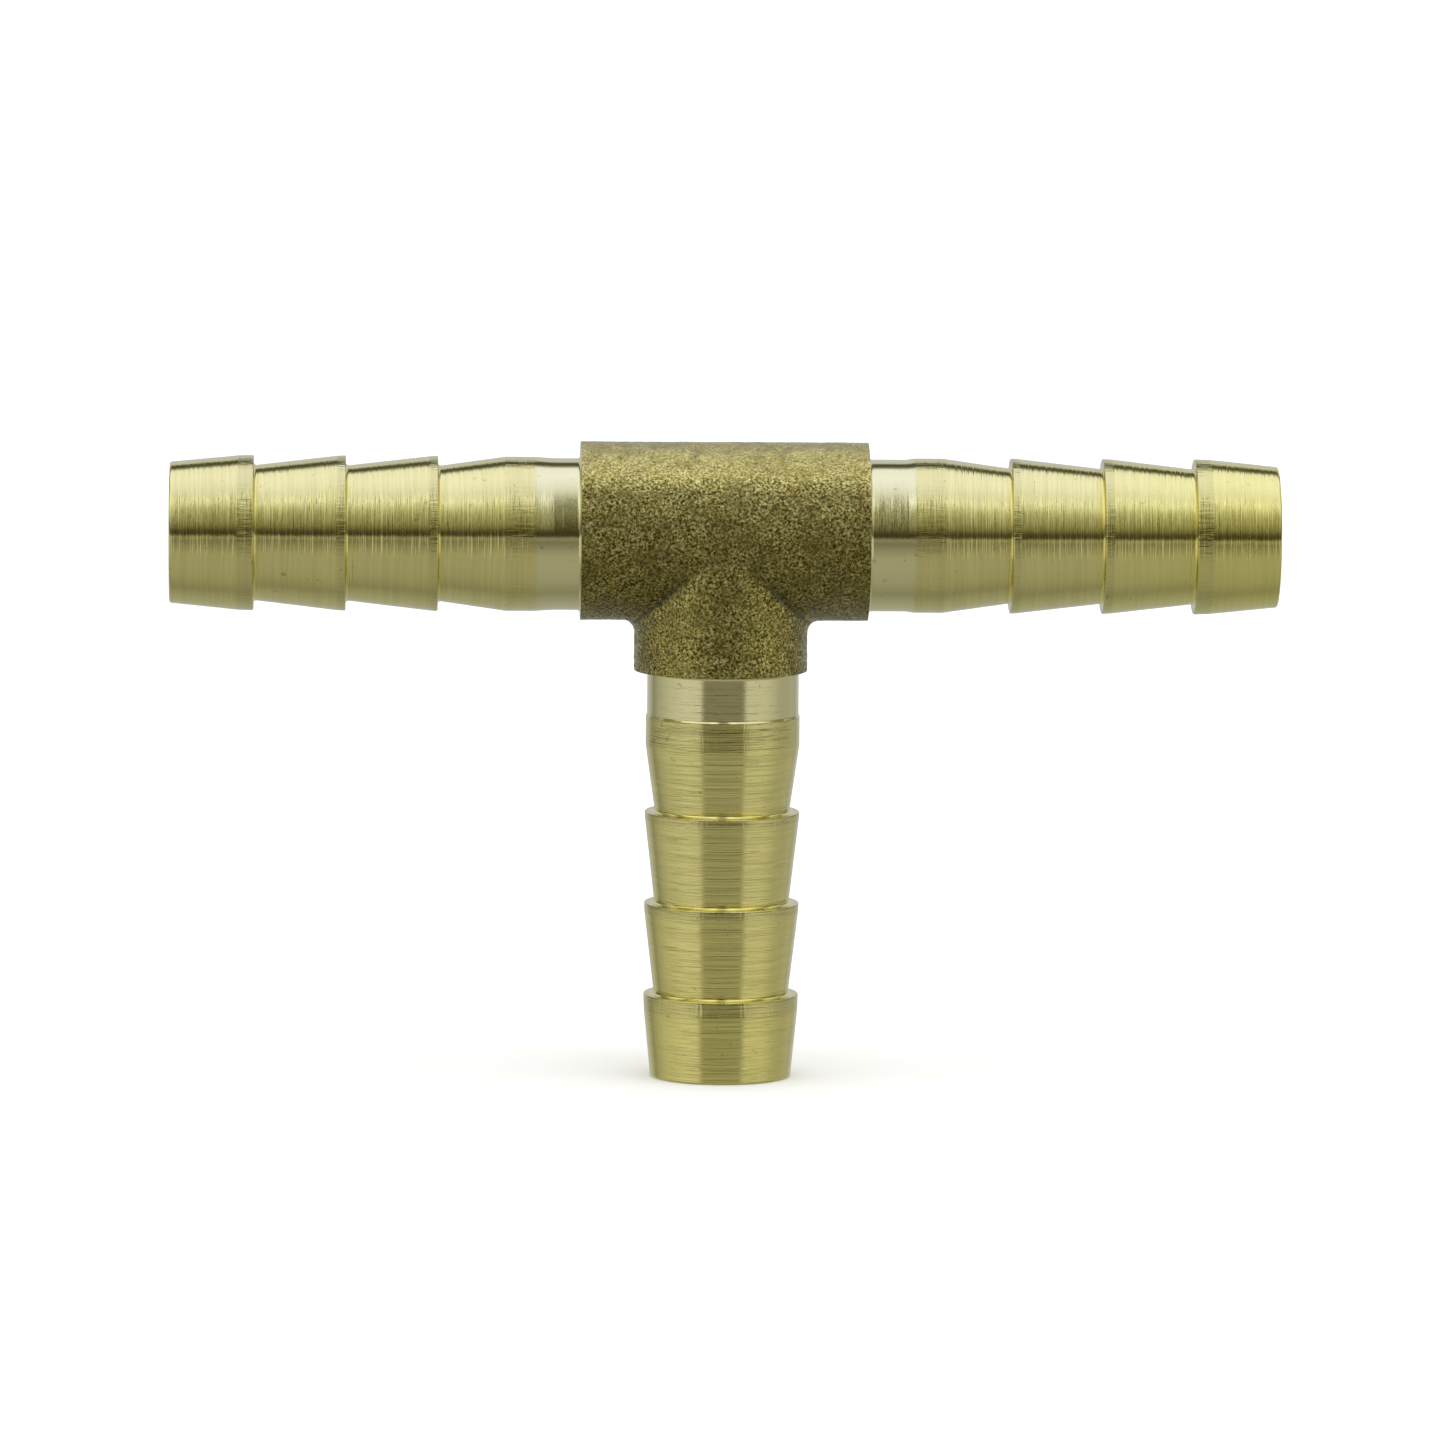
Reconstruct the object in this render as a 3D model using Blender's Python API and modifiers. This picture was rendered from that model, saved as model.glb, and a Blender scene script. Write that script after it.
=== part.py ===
"""Barbed tee connector: a forged brass tee body with a turned hose tail in each of its three sockets.

Row frame, metres: the tee stands on the open end of its branch tail. +Z runs up the branch to the run,
+X lies along the run and +Y across it. The origin is the centre of the branch tail's open end.
"""

import math

import bmesh
import bpy

MM = 0.001

# Driving dimensions of the turned tails, in millimetres. Heights run from a tail's open end to the body.
BORE_RADIUS = 3.5
END_RADIUS = 4.82
CREST_RADIUS = 5.32
ROOT_RADIUS = 4.62
NECK_RADIUS = 5.20
FIRST_BARB_LENGTH = 5.75
BARB_PITCH = 6.30
BARB_COUNT = 3
LEAD_CONE_LENGTH = 4.60
COLLAR_RADIUS = 5.28
COLLAR_LENGTH = 2.00
NECK_EASE = {"left": 1.30, "right": 0.55, "branch": 0.35}
TAIL_LENGTH = 28.10
SPIGOT_DEPTH = 3.40
CREST_CHAMFER = 0.07
ROOT_FILLET = 0.18
END_ROUNDING = 0.16
BORE_CHAMFER = 0.28
SPIGOT_CHAMFER = 0.25

# Driving dimensions of the forged body, in millimetres.
RUN_BODY_RADIUS = 6.13
RUN_BODY_HALF = 9.85
BRANCH_BODY_RADIUS = 5.97
BRANCH_FACE_DROP = 9.30
CROTCH_FILLET = 0.80
# The dies close a little off the axes that the tails are turned on.
RUN_BODY_RISE = 0.25
BRANCH_BODY_SHIFT = -0.18

# Fits, in millimetres.
SOCKET_CLEARANCE = 0.03
SOCKET_END_GAP = 0.05

RUN_HALF = RUN_BODY_HALF + TAIL_LENGTH
RUN_HEIGHT = BRANCH_FACE_DROP + TAIL_LENGTH

TURNED_STEPS = 44
BODY_STEPS = 60
ARC_STEPS = 3
CUTTER_OVERRUN = 2.0
MERGE = 1e-7
SHORTEST_CROTCH_EDGE = 0.05
# The fillet stops where the crotch has come this share of the branch's radius round from its middle.
FILLET_REACH = 0.90
CROTCH_ANGLE = math.radians(8)
SMOOTH_ANGLE = math.radians(30)


def clear_scene():
    for obj in list(bpy.data.objects):
        bpy.data.objects.remove(obj, do_unlink=True)


def new_collection(name):
    collection = bpy.data.collections.new(name)
    bpy.context.scene.collection.children.link(collection)
    return collection


def brass(name, colour, roughness):
    material = bpy.data.materials.new(name)
    material.use_nodes = True
    shader = material.node_tree.nodes["Principled BSDF"]
    shader.inputs["Base Color"].default_value = (*colour, 1.0)
    shader.inputs["Metallic"].default_value = 1.0
    shader.inputs["Roughness"].default_value = roughness
    return material


def arc(centre_radius, centre_height, radius, start, end):
    """Points on an arc in the (radius, height) half plane, from start to end degrees, both included."""
    points = []
    for step in range(ARC_STEPS + 1):
        angle = math.radians(start + (end - start) * step / ARC_STEPS)
        points.append((centre_radius + radius * math.cos(angle), centre_height + radius * math.sin(angle)))
    return points


def crest_heights():
    return [FIRST_BARB_LENGTH + BARB_PITCH * index for index in range(BARB_COUNT)]


def barb_step(height):
    """One crest's outline, from above: its root fillet, its square step and the broken edge of the crest."""
    fillet = arc(ROOT_RADIUS + ROOT_FILLET, height + ROOT_FILLET, ROOT_FILLET, 180, 270)
    edge = [(CREST_RADIUS - CREST_CHAMFER, height), (CREST_RADIUS, height - CREST_CHAMFER)]
    return fillet + edge


def tail_profile(neck_ease):
    """A hose tail's closed (radius, height) outline: down its outside, then up its bore."""
    spigot_top = TAIL_LENGTH + SPIGOT_DEPTH
    collar_base = crest_heights()[-1] + LEAD_CONE_LENGTH
    collar_top = collar_base + COLLAR_LENGTH
    outside = [
        (NECK_RADIUS - SPIGOT_CHAMFER, spigot_top),
        (NECK_RADIUS, spigot_top - SPIGOT_CHAMFER),
        (NECK_RADIUS, collar_top + neck_ease),
        (COLLAR_RADIUS, collar_top),
        (COLLAR_RADIUS, collar_base),
    ]
    for height in reversed(crest_heights()):
        outside += barb_step(height)
    outside += reversed(arc(END_RADIUS - END_ROUNDING, END_ROUNDING, END_ROUNDING, 270, 360))
    bore = [
        (BORE_RADIUS + BORE_CHAMFER, 0.0),
        (BORE_RADIUS, BORE_CHAMFER),
        (BORE_RADIUS, spigot_top),
    ]
    return outside + bore


def cutter_profile(depth):
    """The outline that cuts a socket and the waterway past it, as far into the body as depth."""
    face = TAIL_LENGTH - CUTTER_OVERRUN
    floor = TAIL_LENGTH + SPIGOT_DEPTH + SOCKET_END_GAP
    socket = NECK_RADIUS + SOCKET_CLEARANCE
    top = TAIL_LENGTH + depth
    return [(0.0, top), (BORE_RADIUS, top), (BORE_RADIUS, floor), (socket, floor), (socket, face), (0.0, face)]


def turned(name, profile, collection):
    """A solid of revolution about Z. An outline that starts on the axis is left open along it."""
    points = [(radius * MM, 0.0, height * MM) for radius, height in profile]
    edges = [(index, (index + 1) % len(points)) for index in range(len(points))]
    if profile[0][0] == 0.0:
        edges.pop()
    mesh = bpy.data.meshes.new(name)
    mesh.from_pydata(points, edges, [])
    obj = bpy.data.objects.new(name, mesh)
    collection.objects.link(obj)
    screw = obj.modifiers.new("turning", "SCREW")
    screw.steps = TURNED_STEPS
    screw.render_steps = TURNED_STEPS
    screw.use_merge_vertices = True
    screw.merge_threshold = MERGE
    return obj


def place_on_arm(obj, arm):
    """Lays a shape made along Z on one arm, so that its heights run inwards from that arm's open end."""
    if arm == "branch":
        return
    side = -1 if arm == "left" else 1
    obj.location = (side * RUN_HALF * MM, 0.0, RUN_HEIGHT * MM)
    obj.rotation_euler = (0.0, -side * math.pi / 2, 0.0)


def evaluated_mesh(obj):
    bpy.context.view_layer.update()
    graph = bpy.context.evaluated_depsgraph_get()
    return bpy.data.meshes.new_from_object(obj.evaluated_get(graph))


def apply_modifiers(obj):
    mesh = evaluated_mesh(obj)
    obj.modifiers.clear()
    obj.data = mesh


def finish(obj, material):
    """Settles a part's mesh, smooth but for its real edges, in its own material."""
    apply_modifiers(obj)
    obj.data.materials.clear()
    obj.data.materials.append(material)
    obj.data.shade_smooth()
    obj.data.set_sharp_from_angle(angle=SMOOTH_ANGLE)


def hose_tail(arm, material, collection):
    tail = turned(f"{arm}_hose_tail", tail_profile(NECK_EASE[arm]), collection)
    place_on_arm(tail, arm)
    finish(tail, material)


def cylinder(name, radius, length, centre, tilt, collection):
    shape = bmesh.new()
    bmesh.ops.create_cone(
        shape,
        cap_ends=True,
        segments=BODY_STEPS,
        radius1=radius * MM,
        radius2=radius * MM,
        depth=length * MM,
    )
    mesh = bpy.data.meshes.new(name)
    shape.to_mesh(mesh)
    shape.free()
    obj = bpy.data.objects.new(name, mesh)
    obj.location = [value * MM for value in centre]
    obj.rotation_euler = (0.0, tilt, 0.0)
    collection.objects.link(obj)
    return obj


def boolean(obj, helper, operation):
    """Joins a helper to an object or cuts it away, and keeps the helper out of sight."""
    helper.hide_render = True
    helper.display_type = "WIRE"
    modifier = obj.modifiers.new(helper.name, "BOOLEAN")
    modifier.operation = operation
    modifier.object = helper
    modifier.solver = "EXACT"


def weight_crotch(obj):
    """Marks the line where the branch meets the run for a fillet of one radius, fading out at the sides.

    The surfaces turn through arccos((y / r)^2) where they meet, y across the run. A rolling ball touches
    each of them at its radius times the tangent of half that, which is each edge's share of the bevel.
    """
    shape = bmesh.new()
    shape.from_mesh(obj.data)
    bmesh.ops.remove_doubles(shape, verts=shape.verts, dist=MERGE)
    weight = shape.edges.layers.float.new("bevel_weight_edge")
    for edge in shape.edges:
        across = sum(vert.co.y for vert in edge.verts) / 2 / (BRANCH_BODY_RADIUS * MM)
        if edge.calc_face_angle_signed(0.0) < -CROTCH_ANGLE and abs(across) < FILLET_REACH:
            edge[weight] = math.tan(math.acos(across**2) / 2)
    line = {vert for edge in shape.edges if edge[weight] > 0.0 for vert in edge.verts}
    bmesh.ops.remove_doubles(shape, verts=list(line), dist=SHORTEST_CROTCH_EDGE * MM)
    shape.to_mesh(obj.data)
    shape.free()


def fillet_crotch(obj):
    weight_crotch(obj)
    fillet = obj.modifiers.new("crotch_fillet", "BEVEL")
    fillet.limit_method = "WEIGHT"
    fillet.width = CROTCH_FILLET * MM
    fillet.segments = ARC_STEPS
    fillet.use_clamp_overlap = False


def tee_body(material, collection, cutters):
    """Two forged cylinders that cross, filleted in the crotch, with three sockets on one waterway."""
    run_centre = RUN_HEIGHT + RUN_BODY_RISE
    branch_length = run_centre - TAIL_LENGTH
    body = cylinder(
        "tee_body",
        RUN_BODY_RADIUS,
        2 * RUN_BODY_HALF,
        (0.0, 0.0, run_centre),
        math.pi / 2,
        collection,
    )
    branch = cylinder(
        "branch_stub",
        BRANCH_BODY_RADIUS,
        branch_length,
        (BRANCH_BODY_SHIFT, 0.0, run_centre - branch_length / 2),
        0.0,
        cutters,
    )
    boolean(body, branch, "UNION")
    apply_modifiers(body)
    fillet_crotch(body)
    past_the_middle = RUN_BODY_HALF + CUTTER_OVERRUN
    depths = {"left": past_the_middle, "right": past_the_middle, "branch": BRANCH_FACE_DROP}
    for arm, depth in depths.items():
        cutter = turned(f"{arm}_socket_cutter", cutter_profile(depth), cutters)
        place_on_arm(cutter, arm)
        boolean(body, cutter, "DIFFERENCE")
    finish(body, material)


def main():
    clear_scene()
    parts = new_collection("barbed_tee_connector")
    cutters = new_collection("cutters")
    forged = brass("forged_brass", (0.36, 0.29, 0.12), 0.48)
    machined = brass("turned_brass", (0.62, 0.55, 0.29), 0.22)
    tee_body(forged, parts, cutters)
    for arm in NECK_EASE:
        hose_tail(arm, machined, parts)


main()
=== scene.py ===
"""Studio scene of the barbed tee connector: fine turned tails and shot-blasted forging over the CAD frame."""

import math

import bpy
import numpy as np
from mathutils import Matrix, Vector


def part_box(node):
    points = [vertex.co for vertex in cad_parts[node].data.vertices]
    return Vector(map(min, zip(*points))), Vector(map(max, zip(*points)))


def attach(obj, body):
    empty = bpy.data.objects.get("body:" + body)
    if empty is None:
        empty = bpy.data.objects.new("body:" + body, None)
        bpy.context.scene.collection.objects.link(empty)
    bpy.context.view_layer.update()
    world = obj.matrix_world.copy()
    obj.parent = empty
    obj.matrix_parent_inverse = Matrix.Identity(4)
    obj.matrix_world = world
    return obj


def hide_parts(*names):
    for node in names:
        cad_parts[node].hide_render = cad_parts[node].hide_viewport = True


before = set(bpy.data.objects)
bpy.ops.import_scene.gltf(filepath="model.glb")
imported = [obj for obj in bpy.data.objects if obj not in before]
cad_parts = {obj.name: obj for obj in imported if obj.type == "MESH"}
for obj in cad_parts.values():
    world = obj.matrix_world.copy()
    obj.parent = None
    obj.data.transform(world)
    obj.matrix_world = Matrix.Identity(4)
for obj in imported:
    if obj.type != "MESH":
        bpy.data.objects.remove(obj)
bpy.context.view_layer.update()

MM = 0.001
ARMS = ("left", "right", "branch")

# Where the arms and the body lie, from the frame, in millimetres.
RUN_HALF = -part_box("left_hose_tail")[0][0] / MM
RUN_HEIGHT = sum(corner[2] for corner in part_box("left_hose_tail")) / 2 / MM
BODY_LOW, BODY_HIGH = (np.array(corner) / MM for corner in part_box("tee_body"))
RUN_BODY_HALF = BODY_HIGH[0]
RUN_BODY_RADIUS = BODY_HIGH[1]
RUN_BODY_RISE = BODY_HIGH[2] - RUN_BODY_RADIUS - RUN_HEIGHT
TAIL_LENGTH = BODY_LOW[2]
SPIGOT_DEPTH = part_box("branch_hose_tail")[1][2] / MM - TAIL_LENGTH
CREST_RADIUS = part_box("branch_hose_tail")[1][0] / MM

# The rest of the frame's own dimensions, in millimetres, as the CAD model has them.
BORE_RADIUS = 3.5
END_RADIUS = 4.82
ROOT_RADIUS = 4.62
NECK_RADIUS = 5.20
COLLAR_RADIUS = 5.28
COLLAR_LENGTH = 2.00
LEAD_CONE_LENGTH = 4.60
FIRST_BARB_LENGTH = 5.75
BARB_PITCH = 6.30
BARB_COUNT = 3
BORE_CHAMFER = 0.28
BRANCH_BODY_RADIUS = 5.97
BRANCH_BODY_SHIFT = -0.18
CROTCH_FILLET = 0.80

# Fine shape that the CAD model leaves out or has plainer, in millimetres. NECK_EASE is how long the ramp from
# each collar down to its neck is, and the branch's is cut sharper here.
CREST_LANDS = (1.10, 0.62, 0.55)
CREST_ROUNDING = 0.09
CREST_LAND_RISE = 0.035
ROOT_FILLET = 0.20
END_ROUNDING = 0.16
SHOULDER_FILLET = 0.24
SHOULDER_REACH = 0.36
NECK_EASE = {"left": 1.30, "right": 0.55, "branch": 0.12}
OUTLINE_SPACING = 0.078
TURNED_STEPS = 168
FINE_FEED = {"depth": 0.0016, "pitch": 0.16}
COARSE_FEED = {"depth": 0.0030, "pitch": 0.55}
TOOL_WANDER = {"depth": 0.0035, "pitch": 5.0}
FINE_DENTS = {"depth": 0.030, "size": 0.30}
COARSE_DENTS = {"depth": 0.022, "size": 0.62}
UNEVENNESS = {"depth": 0.020, "size": 2.6}
CREASE_WIDTH = 0.27
FACE_RINGS = 9
WATERWAY_FILLET = 0.12
NEWTON_STEPS = 8

# How strongly each neck shows the streaks of its barbs, and how much yellower its barbs' ends are. The
# yellowing fades between these two distances from the open end.
NECK_MARKS = {"left": 0.06, "right": 0.40, "branch": 0.35}
YELLOWING = {"left": 0.0, "right": 0.40, "branch": 0.30}
YELLOWING_FADES = (2.0, 17.0)

# Colours of the brass, linear.
RUN_BRASS = (0.80, 0.73, 0.29)
BRANCH_BRASS = (0.81, 0.74, 0.28)
NECK_BRASS = (0.78, 0.735, 0.38)
YELLOWED_BRASS = (0.86, 0.78, 0.20)
CREST_BRASS = (0.60, 0.54, 0.23)
# A painted highlight: the brighter yellow line along each barb's root.
ROOT_HIGHLIGHT_BRASS = (0.88, 0.78, 0.20)
BORE_BRASS = (0.62, 0.53, 0.20)
TARNISH = (0.30, 0.23, 0.07)
# Painted light: the paler, more even skin where the forging looks up.
PAINTED_LIT_SKIN = (0.62, 0.545, 0.195)
OLIVE_SKIN = (0.32, 0.27, 0.068)
# Grime and painted shade for the crease where run and branch meet.
CREASE_GRIME_AND_SHADE = (0.055, 0.055, 0.038)
# The palest the painted light may make the skin.
PALEST_SKIN = (1.0, 0.90, 0.38)
# Tones of the forged skin, by how high its speckle is; the palest are painted glints.
SKIN_TONES_AND_GLINTS = [
    (0.405, (0.070, 0.052, 0.008)),
    (0.470, (0.32, 0.260, 0.048)),
    (0.530, (0.68, 0.575, 0.140)),
    (0.605, (1.00, 0.905, 0.400)),
]
# Painted light and shade on the forged skin: how light its colour is, by how far its normal looks up:
# 0 is level, 1 straight up.
SKIN_PAINTED_LIGHT = [
    (0.20, 0.54),
    (0.30, 0.62),
    (0.40, 0.65),
    (0.50, 0.66),
    (0.61, 1.02),
    (0.71, 1.38),
    (0.81, 1.52),
    (0.91, 1.38),
    (0.98, 0.95),
]

# How much each finish, and each painted highlight, light and shade, changes the colour under it.
STREAK_SHADE = 0.92
CREST_STRENGTH = 0.45
TARNISH_STRENGTH = 0.45
ROOT_HIGHLIGHT_STRENGTH = 0.5
PAINTED_LIT_SKIN_STRENGTH = 0.70
OLIVE_STRENGTH = 0.50
# Painted light on the stub's slanting sides.
FLANK_PAINTED_LIGHT = 0.85
CREASE_STRENGTH = 0.75

# Roughness of each finish, and how metallic the bores look.
TURNED_ROUGHNESS = 0.115
BORE_ROUGHNESS = 0.42
BORE_METALLIC = 0.72
FORGED_ROUGHNESS = 0.20

# Tool marks, as noise cells a metre round the metal and along its axis, and how deep they are in metres.
FINE_MARKS = (900.0, 7000.0)
BROAD_MARKS = (70.0, 3400.0)
CHATTER_MARKS = (4500.0, 500.0)
RUN_MARK_DEPTH = 0.00007
BRANCH_MARK_DEPTH = 0.00005
RING_STRENGTH = 0.12
CHATTER_STRENGTH = 0.5
TARNISH_SPECKS = {"scale": 1500.0, "detail": 3.0, "roughness": 0.6}
TARNISH_RANGE = (0.66, 0.74)

# Grain of the forged skin, as cells a metre. The depth and the wave of the facets' edges are in metres, the
# lean is how far a facet's normal is tipped, as a share of the normal's length, and the painted light of the
# paler, more even top skin begins and is full at these amounts of looking up.
GRAIN_SCALE = 4000.0
GRAIN_NOISE = {"scale": 6200.0, "detail": 4.0, "roughness": 0.78}
PATCHES = {"scale": 700.0, "detail": 3.0, "roughness": 0.6}
PATCH_RANGE = (0.42, 0.66)
PAINTED_LIT_SKIN_RANGE = (0.55, 0.86)
GRAIN_DEPTH = 0.00010
GRAIN_HEIGHT_SHARE = 0.6
GRAIN_SPECKLE_SHARE = 0.12
MIDDLE_GRAIN = 0.45
FACET_SCALE = 5200.0
FACET_LEAN = 0.9
FACET_WAVE_SCALE = 5000.0
FACET_WAVE = 0.00035

# Tones of the light tent, linear. OVER_TONES go by degrees up from the front, 90 overhead and 180 level
# behind, negative below the level. ROUND_TONES, out to the sides, go by degrees round from the front, and to
# the right is positive.
OVER_TONES = {
    -180: (0.55, 0.56, 0.60),
    -150: (0.45, 0.46, 0.47),
    -124: (0.40, 0.41, 0.41),
    -108: (0.34, 0.35, 0.33),
    -95: (0.28, 0.285, 0.26),
    -84: (0.32, 0.325, 0.30),
    -73: (0.37, 0.37, 0.35),
    -50: (0.41, 0.41, 0.39),
    -30: (0.415, 0.41, 0.39),
    -20: (0.33, 0.33, 0.30),
    -13: (0.27, 0.265, 0.235),
    -7: (0.20, 0.195, 0.165),
    -3: (0.29, 0.285, 0.25),
    -1: (0.32, 0.32, 0.28),
    2: (0.042, 0.034, 0.012),
    10: (0.048, 0.040, 0.015),
    24: (0.085, 0.078, 0.040),
    36: (0.18, 0.178, 0.125),
    48: (0.23, 0.23, 0.18),
    58: (0.34, 0.345, 0.32),
    66: (0.55, 0.565, 0.62),
    73: (0.80, 0.83, 1.00),
    84: (0.97, 1.00, 1.35),
    104: (1.12, 1.16, 1.65),
    125: (1.05, 1.09, 1.50),
    130: (0.35, 0.35, 0.33),
    134: (0.08, 0.08, 0.06),
    144: (0.08, 0.08, 0.06),
    149: (0.66, 0.68, 0.80),
    180: (0.55, 0.56, 0.60),
}
ROUND_TONES = {
    -180: (0.30, 0.31, 0.32),
    -160: (0.34, 0.35, 0.36),
    -140: (0.42, 0.42, 0.42),
    -133: (0.28, 0.28, 0.26),
    -124: (0.38, 0.38, 0.37),
    -100: (0.54, 0.54, 0.53),
    -84: (0.62, 0.62, 0.62),
    -60: (0.71, 0.70, 0.73),
    0: (0.70, 0.69, 0.71),
    65: (0.65, 0.64, 0.64),
    80: (0.57, 0.565, 0.56),
    95: (0.45, 0.45, 0.44),
    112: (0.42, 0.42, 0.42),
    130: (0.46, 0.46, 0.47),
    160: (0.34, 0.35, 0.36),
    180: (0.30, 0.31, 0.32),
}

# Where the tent's parts begin and end. The dark front and its thinned part go by degrees up from the front,
# and beside it, further out and the walls by degrees out to either side. The rest go by how far a direction
# rises, from -1 straight down to 1 straight up. THINNING is how much is added to the dark front's tones, as a
# share of them, beside its middle and further out.
DARK_FRONT_BEGINS = (0, 15)
DARK_FRONT_ENDS = (80, 115)
DARK_FRONT_DROP = 14
THINNED_BEGINS = (6, 15)
THINNED_ENDS = (42, 76)
BESIDE = (3, 9)
FURTHER_OUT = (14.5, 17.5)
THINNING = (1.15, 0.55)
WALLS_BEGIN = (28.5, 37)
WALLS_RISE = (-0.50, -0.34)
TABLE_EDGE = (-0.02, 0.03)
TABLE_EDGE_TONES = (1.0, 0.20)
UPPER_WALLS = (0.05, 0.70)
UPPER_WALL_TONE = 1.45
ROOM_EDGE = (-0.15, 0.15)
ROOM_LIGHT = (0.10, 1.08)

# The floor, its radii in millimetres, and the light over it, in metres, watts and degrees.
FLOOR_COLOUR = (0.96, 0.96, 0.955)
FLOOR_INNER_RADII = (0.5, 5.0)
FLOOR_RADIUS = 6000.0
FLOOR_RINGS = 30
FLOOR_STEPS = 64
FLOOR_HEIGHT = -0.01
SOFTBOX_SIZE = 0.9
SOFTBOX_POWER = 4.0
SOFTBOX_PLACE = (0.15, -0.25, 1.2)
SOFTBOX_TILT = (-12, 7)

# The camera, its distances in millimetres and its angles in degrees.
FRONT_DISTANCE = 826.4
LENS = 300.0
SENSOR = 36.0
CAMERA_AZIMUTH = -1.7
CAMERA_ELEVATION = 6.7
CAMERA_ROLL = 0.44
AIM = (-0.01, 0.0, 24.45)


# ---------------------------------------------------------------- surfaces


def add_surface(name, points, quads, material, **values):
    """A smooth mesh from points in millimetres and four-cornered faces, with named values at each point."""
    mesh = bpy.data.meshes.new(name)
    mesh.vertices.add(len(points))
    mesh.vertices.foreach_set("co", (points * MM).astype(np.float32).ravel())
    mesh.loops.add(quads.size)
    mesh.loops.foreach_set("vertex_index", quads.astype(np.int32).ravel())
    mesh.polygons.add(len(quads))
    mesh.polygons.foreach_set("loop_start", np.arange(0, quads.size, 4, dtype=np.int32))
    mesh.update(calc_edges=True)
    mesh.shade_smooth()
    for value_name, numbers in values.items():
        layer = mesh.attributes.new(value_name, "FLOAT", "POINT")
        layer.data.foreach_set("value", np.asarray(numbers, dtype=np.float32))
    mesh.materials.append(material)
    piece = bpy.data.objects.new(name, mesh)
    bpy.context.scene.collection.objects.link(piece)
    return piece


def grid_quads(rows, columns, closed):
    """Faces between neighbouring rows and columns; on a closed grid the last column meets the first."""
    row, column = np.meshgrid(
        np.arange(rows - 1),
        np.arange(columns if closed else columns - 1),
        indexing="ij",
    )
    beside = (column + 1) % columns
    corners = (
        row * columns + column,
        row * columns + beside,
        (row + 1) * columns + beside,
        (row + 1) * columns + column,
    )
    return np.stack(corners, axis=-1).reshape(-1, 4)


def facing(points, quads, outward):
    """The faces turned so that each side's normal agrees with the outward direction at its first corner."""
    first, second, fourth = (points[quads[:, corner]] for corner in (0, 1, 3))
    normals = np.cross(second - first, fourth - first)
    agreement = np.sum(normals * outward[quads[:, 0]])
    return quads if agreement > 0 else quads[:, ::-1]


def ring_noise(position, pitch, seed):
    """Smooth noise along a line: random heights every pitch, joined by the cubic 3t^2 - 2t^3."""
    count = 4096
    heights = np.random.default_rng(seed).uniform(-1.0, 1.0, count)
    cell = np.floor(position / pitch).astype(int)
    part = position / pitch - cell
    blend = part * part * (3 - 2 * part)
    return heights[cell % count] * (1 - blend) + heights[(cell + 1) % count] * blend


def cell_noise(points, size, seed):
    """Distance to the nearest random point, one held in each cube of this size, as a share of the size.

    A cube's point comes from its whole-numbered place, each part times a large prime and joined by
    exclusive or, and then times one smaller prime for each of X, Y and Z.
    """
    scaled = points / size
    home = np.floor(scaled).astype(np.int64)
    nearest = np.full(len(points), 9.0)
    for offset in np.stack(np.meshgrid(*[(-1, 0, 1)] * 3), axis=-1).reshape(-1, 3):
        cell = home + offset
        key = cell[:, 0] * 73856093 ^ cell[:, 1] * 19349663 ^ cell[:, 2] * 83492791 ^ seed * 2654435761
        draws = [((key * prime) >> 13 & 0xFFFF) / 65536 for prime in (7919, 104729, 1299709)]
        nearest = np.minimum(nearest, np.linalg.norm(cell + np.stack(draws, axis=1) - scaled, axis=1))
    return nearest


def soft_step(value, low, high):
    """0 below low, 1 above high, and 3t^2 - 2t^3 of the share t between them."""
    share = np.clip((value - low) / (high - low), 0.0, 1.0)
    return share * share * (3 - 2 * share)


# ---------------------------------------------------------------- turned tails


def rounded_outline(corners, spacing):
    """Points every spacing along straight lines joined by arcs of each corner's radius.

    A corner of turn t and radius r leaves its lines r tan(t / 2) before the corner, and its arc's centre
    is on the bisector, r / cos(t / 2) from the corner.
    """
    runs = []
    last = np.array(corners[0][:2], dtype=float)
    for before, here, after in zip(corners, corners[1:], corners[2:]):
        point = np.array(here[:2], dtype=float)
        back = np.array(before[:2]) - point
        ahead = np.array(after[:2]) - point
        back /= np.linalg.norm(back)
        ahead /= np.linalg.norm(ahead)
        turn = math.pi - math.acos(np.clip(back @ ahead, -1, 1))
        reach = here[2] * math.tan(turn / 2)
        start = point + back * reach
        straight = max(2, int(np.linalg.norm(start - last) / spacing))
        runs.append(np.linspace(last, start, straight, endpoint=False))
        bisector = (back + ahead) / np.linalg.norm(back + ahead)
        centre = point + bisector * here[2] / math.cos(turn / 2)
        steps = max(3, int(here[2] * turn / spacing * 2))
        share = np.linspace(0, 1, steps, endpoint=False)[:, None]
        spoke = start - centre
        other = point + ahead * reach - centre
        arc = (np.sin((1 - share) * turn) * spoke + np.sin(share * turn) * other) / math.sin(turn)
        runs.append(centre + arc)
        last = point + ahead * reach
    end = np.array(corners[-1][:2], dtype=float)
    runs.append(np.linspace(last, end, max(3, int(np.linalg.norm(end - last) / spacing / 3))))
    return np.concatenate(runs)


def crest_heights():
    """How far each barb's crest is from the open end."""
    return [FIRST_BARB_LENGTH + BARB_PITCH * index for index in range(BARB_COUNT)]


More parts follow.
